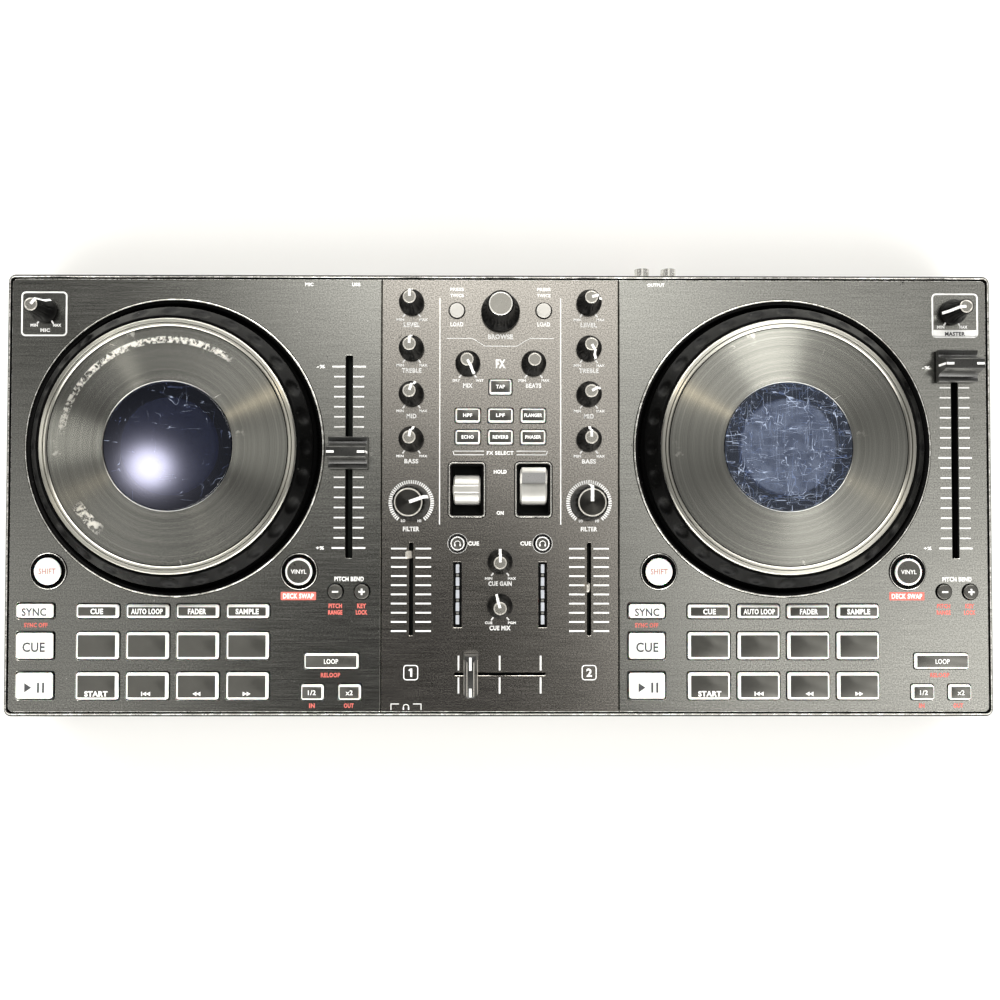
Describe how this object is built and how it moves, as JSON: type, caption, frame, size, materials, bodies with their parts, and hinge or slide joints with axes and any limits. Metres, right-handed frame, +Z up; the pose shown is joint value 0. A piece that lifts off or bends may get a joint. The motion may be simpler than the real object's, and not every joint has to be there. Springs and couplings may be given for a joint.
{
  "type": "dj controller",
  "caption": "Flat two-deck DJ controller with turning jog wheels, a central mixer, faders, knobs, paddles and sprung keys.",
  "frame": {"origin": "on the table surface, under the middle of the box round the whole object, rear sockets included", "axes": "+X to the player's right, along the long side; +Y to the back, where the sockets are; +Z up"},
  "size_m": [0.534, 0.246, 0.056],
  "materials": {
    "case_metal": "dark grey paint with a bright worn chamfer",
    "deck_panel": "grey aluminium, brushed from side to side",
    "mixer_panel": "grey metallic lacquer with fine sparkle",
    "circuit_board": "green laminate",
    "foot_rubber": "black rubber",
    "socket_plastic": "black moulded",
    "socket_metal": "nickel plated",
    "display": "dark blue display face",
    "platter_metal": "turned and brushed in circles",
    "grip_ring": "black, satin",
    "window": "scratched clear plastic",
    "knob_plastic": "soft black rubber skin",
    "lever_steel": "bare steel",
    "fader_cap": "dark grey satin",
    "paddle_metal": "satin silver",
    "key_plastic": "white translucent"
  },
  "bodies": {
    "case": {"bottom_case": "case_metal", "top_case": "case_metal", "left_faceplate": "deck_panel", "mixer_faceplate": "mixer_panel", "right_faceplate": "deck_panel", "main_circuit_board": "circuit_board", "front_left_foot": "foot_rubber", "front_right_foot": "foot_rubber", "rear_left_foot": "foot_rubber", "rear_right_foot": "foot_rubber", "rca_jacks": "socket_metal", "mic_jack": "socket_plastic", "headphone_jacks": "socket_plastic", "usb_socket": "socket_metal", "left_jog_display": "display", "right_jog_display": "display"},
    "left_jog": {"left_jog_platter": "platter_metal", "left_jog_ring": "grip_ring", "left_jog_window": "window"},
    "right_jog": {"right_jog_platter": "platter_metal", "right_jog_ring": "grip_ring", "right_jog_window": "window"},
    "mic_knob": {"mic_knob": "knob_plastic"},
    "master_knob": {"master_knob": "knob_plastic"},
    "browse_knob": {"browse_knob": "knob_plastic"},
    "dry_wet_knob": {"dry_wet_knob": "knob_plastic"},
    "beats_knob": {"beats_knob": "knob_plastic"},
    "cue_gain_knob": {"cue_gain_knob": "knob_plastic"},
    "cue_mix_knob": {"cue_mix_knob": "knob_plastic"},
    "left_level_knob": {"left_level_knob": "knob_plastic"},
    "left_treble_knob": {"left_treble_knob": "knob_plastic"},
    "left_mid_knob": {"left_mid_knob": "knob_plastic"},
    "left_bass_knob": {"left_bass_knob": "knob_plastic"},
    "left_filter_knob": {"left_filter_knob": "knob_plastic"},
    "right_level_knob": {"right_level_knob": "knob_plastic"},
    "right_treble_knob": {"right_treble_knob": "knob_plastic"},
    "right_mid_knob": {"right_mid_knob": "knob_plastic"},
    "right_bass_knob": {"right_bass_knob": "knob_plastic"},
    "right_filter_knob": {"right_filter_knob": "knob_plastic"},
    "left_pitch_fader": {"left_pitch_fader": "fader_cap"},
    "right_pitch_fader": {"right_pitch_fader": "fader_cap"},
    "left_channel_fader": {"left_channel_fader": "lever_steel"},
    "right_channel_fader": {"right_channel_fader": "lever_steel"},
    "crossfader": {"crossfader": "fader_cap"},
    "left_fx_paddle": {"left_fx_paddle": "paddle_metal"},
    "right_fx_paddle": {"right_fx_paddle": "paddle_metal"},
    "left_pad_keys": {"left_pad_keys": "key_plastic"},
    "right_pad_keys": {"right_pad_keys": "key_plastic"},
    "left_transport_keys": {"left_transport_keys": "key_plastic"},
    "right_transport_keys": {"right_transport_keys": "key_plastic"},
    "left_loop_keys": {"left_loop_keys": "key_plastic"},
    "right_loop_keys": {"right_loop_keys": "key_plastic"},
    "left_shift_button": {"left_shift_button": "key_plastic"},
    "right_shift_button": {"right_shift_button": "key_plastic"},
    "left_scratch_button": {"left_scratch_button": "key_plastic"},
    "right_scratch_button": {"right_scratch_button": "key_plastic"},
    "fx_keys": {"fx_keys": "key_plastic"},
    "tap_key": {"tap_key": "key_plastic"},
    "load_keys": {"load_keys": "key_plastic"},
    "headphone_cue_keys": {"headphone_cue_keys": "key_plastic"}
  },
  "joints": [
    {"name": "left_jog_spin", "type": "hinge", "parent": "case", "child": "left_jog", "pos_m": [-0.176, 0.0219, 0.0342], "axis": [0, 0, 1], "continuous": true},
    {"name": "right_jog_spin", "type": "hinge", "parent": "case", "child": "right_jog", "pos_m": [0.1531, 0.0219, 0.0342], "axis": [0, 0, 1], "continuous": true},
    {"name": "mic_turn", "type": "hinge", "parent": "case", "child": "mic_knob", "pos_m": [-0.2466, 0.096, 0.0342], "axis": [0, 0, 1], "range_deg": [-110, 190]},
    {"name": "master_turn", "type": "hinge", "parent": "case", "child": "master_knob", "pos_m": [0.246, 0.096, 0.0342], "axis": [0, 0, 1], "range_deg": [-248, 52]},
    {"name": "browse_turn", "type": "hinge", "parent": "case", "child": "browse_knob", "pos_m": [0.0001, 0.0955, 0.0342], "axis": [0, 0, 1], "continuous": true},
    {"name": "dry_wet_turn", "type": "hinge", "parent": "case", "child": "dry_wet_knob", "pos_m": [-0.0176, 0.0677, 0.0342], "axis": [0, 0, 1], "range_deg": [0, 300]},
    {"name": "beats_turn", "type": "hinge", "parent": "case", "child": "beats_knob", "pos_m": [0.0181, 0.0677, 0.0342], "axis": [0, 0, 1], "continuous": true},
    {"name": "cue_gain_turn", "type": "hinge", "parent": "case", "child": "cue_gain_knob", "pos_m": [0, -0.0396, 0.0342], "axis": [0, 0, 1], "range_deg": [-150, 150]},
    {"name": "cue_mix_turn", "type": "hinge", "parent": "case", "child": "cue_mix_knob", "pos_m": [0, -0.0635, 0.0342], "axis": [0, 0, 1], "range_deg": [-167, 133]},
    {"name": "left_level_turn", "type": "hinge", "parent": "case", "child": "left_level_knob", "pos_m": [-0.0481, 0.1008, 0.0342], "axis": [0, 0, 1], "range_deg": [-150, 150]},
    {"name": "left_treble_turn", "type": "hinge", "parent": "case", "child": "left_treble_knob", "pos_m": [-0.0481, 0.0759, 0.0342], "axis": [0, 0, 1], "range_deg": [-150, 150]},
    {"name": "left_mid_turn", "type": "hinge", "parent": "case", "child": "left_mid_knob", "pos_m": [-0.0481, 0.0511, 0.0342], "axis": [0, 0, 1], "range_deg": [-130, 170]},
    {"name": "left_bass_turn", "type": "hinge", "parent": "case", "child": "left_bass_knob", "pos_m": [-0.0481, 0.0266, 0.0342], "axis": [0, 0, 1], "range_deg": [-138, 162]},
    {"name": "left_filter_turn", "type": "hinge", "parent": "case", "child": "left_filter_knob", "pos_m": [-0.0481, -0.0078, 0.0342], "axis": [0, 0, 1], "range_deg": [-79, 221]},
    {"name": "right_level_turn", "type": "hinge", "parent": "case", "child": "right_level_knob", "pos_m": [0.0481, 0.1008, 0.0342], "axis": [0, 0, 1], "range_deg": [-74, 226]},
    {"name": "right_treble_turn", "type": "hinge", "parent": "case", "child": "right_treble_knob", "pos_m": [0.0481, 0.0759, 0.0342], "axis": [0, 0, 1], "range_deg": [0, 300]},
    {"name": "right_mid_turn", "type": "hinge", "parent": "case", "child": "right_mid_knob", "pos_m": [0.0481, 0.0511, 0.0342], "axis": [0, 0, 1], "range_deg": [-88, 212]},
    {"name": "right_bass_turn", "type": "hinge", "parent": "case", "child": "right_bass_knob", "pos_m": [0.0481, 0.0266, 0.0342], "axis": [0, 0, 1], "range_deg": [-150, 150]},
    {"name": "right_filter_turn", "type": "hinge", "parent": "case", "child": "right_filter_knob", "pos_m": [0.0481, -0.0078, 0.0342], "axis": [0, 0, 1], "range_deg": [-150, 150]},
    {"name": "left_pitch_slide", "type": "slide", "parent": "case", "child": "left_pitch_fader", "axis": [0, 1, 0], "range_m": [-0.0518, 0.0482]},
    {"name": "right_pitch_slide", "type": "slide", "parent": "case", "child": "right_pitch_fader", "axis": [0, 1, 0], "range_m": [-0.0992, 0.0008]},
    {"name": "left_channel_slide", "type": "slide", "parent": "case", "child": "left_channel_fader", "axis": [0, 1, 0], "range_m": [-0.0412, 0.0038]},
    {"name": "right_channel_slide", "type": "slide", "parent": "case", "child": "right_channel_fader", "axis": [0, 1, 0], "range_m": [-0.0235, 0.0215]},
    {"name": "crossfader_slide", "type": "slide", "parent": "case", "child": "crossfader", "axis": [1, 0, 0], "range_m": [-0.0067, 0.0381]},
    {"name": "left_paddle_tip", "type": "hinge", "parent": "case", "child": "left_fx_paddle", "pos_m": [-0.018, -0.00075, 0.0292], "axis": [1, 0, 0], "range_deg": [-45, 45]},
    {"name": "right_paddle_tip", "type": "hinge", "parent": "case", "child": "right_fx_paddle", "pos_m": [0.018, -0.00075, 0.0292], "axis": [1, 0, 0], "range_deg": [0, 90]},
    {"name": "left_pad_keys_press", "type": "slide", "parent": "case", "child": "left_pad_keys", "axis": [0, 0, -1], "range_m": [0, 0.0012], "stiffness_N_per_m": 1500, "springref_m": -0.001},
    {"name": "right_pad_keys_press", "type": "slide", "parent": "case", "child": "right_pad_keys", "axis": [0, 0, -1], "range_m": [0, 0.0012], "stiffness_N_per_m": 1500, "springref_m": -0.001},
    {"name": "left_transport_keys_press", "type": "slide", "parent": "case", "child": "left_transport_keys", "axis": [0, 0, -1], "range_m": [0, 0.0012], "stiffness_N_per_m": 900, "springref_m": -0.001},
    {"name": "right_transport_keys_press", "type": "slide", "parent": "case", "child": "right_transport_keys", "axis": [0, 0, -1], "range_m": [0, 0.0012], "stiffness_N_per_m": 900, "springref_m": -0.001},
    {"name": "left_loop_keys_press", "type": "slide", "parent": "case", "child": "left_loop_keys", "axis": [0, 0, -1], "range_m": [0, 0.0012], "stiffness_N_per_m": 900, "springref_m": -0.001},
    {"name": "right_loop_keys_press", "type": "slide", "parent": "case", "child": "right_loop_keys", "axis": [0, 0, -1], "range_m": [0, 0.0012], "stiffness_N_per_m": 900, "springref_m": -0.001},
    {"name": "left_shift_button_press", "type": "slide", "parent": "case", "child": "left_shift_button", "axis": [0, 0, -1], "range_m": [0, 0.0012], "stiffness_N_per_m": 500, "springref_m": -0.001},
    {"name": "right_shift_button_press", "type": "slide", "parent": "case", "child": "right_shift_button", "axis": [0, 0, -1], "range_m": [0, 0.0012], "stiffness_N_per_m": 500, "springref_m": -0.001},
    {"name": "left_scratch_button_press", "type": "slide", "parent": "case", "child": "left_scratch_button", "axis": [0, 0, -1], "range_m": [0, 0.0012], "stiffness_N_per_m": 500, "springref_m": -0.001},
    {"name": "right_scratch_button_press", "type": "slide", "parent": "case", "child": "right_scratch_button", "axis": [0, 0, -1], "range_m": [0, 0.0012], "stiffness_N_per_m": 500, "springref_m": -0.001},
    {"name": "fx_keys_press", "type": "slide", "parent": "case", "child": "fx_keys", "axis": [0, 0, -1], "range_m": [0, 0.0012], "stiffness_N_per_m": 800, "springref_m": -0.001},
    {"name": "tap_key_press", "type": "slide", "parent": "case", "child": "tap_key", "axis": [0, 0, -1], "range_m": [0, 0.0012], "stiffness_N_per_m": 400, "springref_m": -0.001},
    {"name": "load_keys_press", "type": "slide", "parent": "case", "child": "load_keys", "axis": [0, 0, -1], "range_m": [0, 0.0012], "stiffness_N_per_m": 500, "springref_m": -0.001},
    {"name": "headphone_cue_keys_press", "type": "slide", "parent": "case", "child": "headphone_cue_keys", "axis": [0, 0, -1], "range_m": [0, 0.0012], "stiffness_N_per_m": 500, "springref_m": -0.001}
  ]
}
